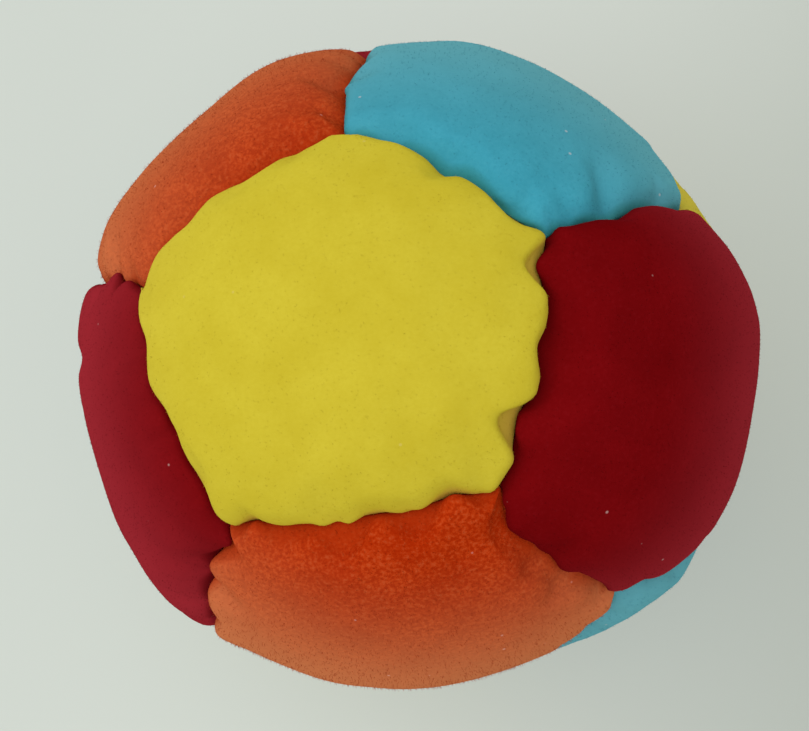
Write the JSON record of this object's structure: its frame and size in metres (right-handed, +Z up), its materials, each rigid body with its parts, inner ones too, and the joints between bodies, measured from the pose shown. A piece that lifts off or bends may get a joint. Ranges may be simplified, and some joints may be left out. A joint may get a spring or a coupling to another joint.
{
  "type": "footbag",
  "caption": "Small hand-sewn suede footbag of pentagonal panels in four colours, loosely filled so that it slumps and rests flat.",
  "frame": {"origin": "on the surface that the bag rests on, under the middle of the bag", "axes": "+Z up out of the top panel, -Y towards the front upper panel, +X to the right as seen from the front"},
  "size_m": [0.0593, 0.0566, 0.05],
  "materials": {
    "suede_yellow": "brushed suede, very fine flat nap",
    "suede_orange": "brushed suede, coarse mottled nap",
    "suede_crimson": "brushed suede, smooth close nap",
    "suede_blue": "brushed suede, fine grained nap",
    "thread": "waxed twisted polyester",
    "pellets": "loose plastic pellets"
  },
  "bodies": {
    "root": {"top_panel": "suede_yellow", "upper_panel_front": "suede_orange", "upper_panel_right": "suede_crimson", "upper_panel_back_right": "suede_blue", "upper_panel_back_left": "suede_orange", "upper_panel_left": "suede_crimson", "lower_panel_front_right": "suede_blue", "lower_panel_back_right": "suede_yellow", "lower_panel_back": "suede_crimson", "lower_panel_back_left": "suede_blue", "lower_panel_front_left": "suede_yellow", "bottom_panel": "suede_orange", "filling": "pellets", "top_ring_thread": "thread", "bottom_ring_thread": "thread", "girdle_thread": "thread", "closing_thread": "thread", "upper_seam_thread_1": "thread", "upper_seam_thread_2": "thread", "upper_seam_thread_3": "thread", "upper_seam_thread_4": "thread", "upper_seam_thread_5": "thread", "lower_seam_thread_1": "thread", "lower_seam_thread_2": "thread", "lower_seam_thread_3": "thread", "lower_seam_thread_4": "thread", "lower_seam_thread_5": "thread"}
  },
  "joints": []
}
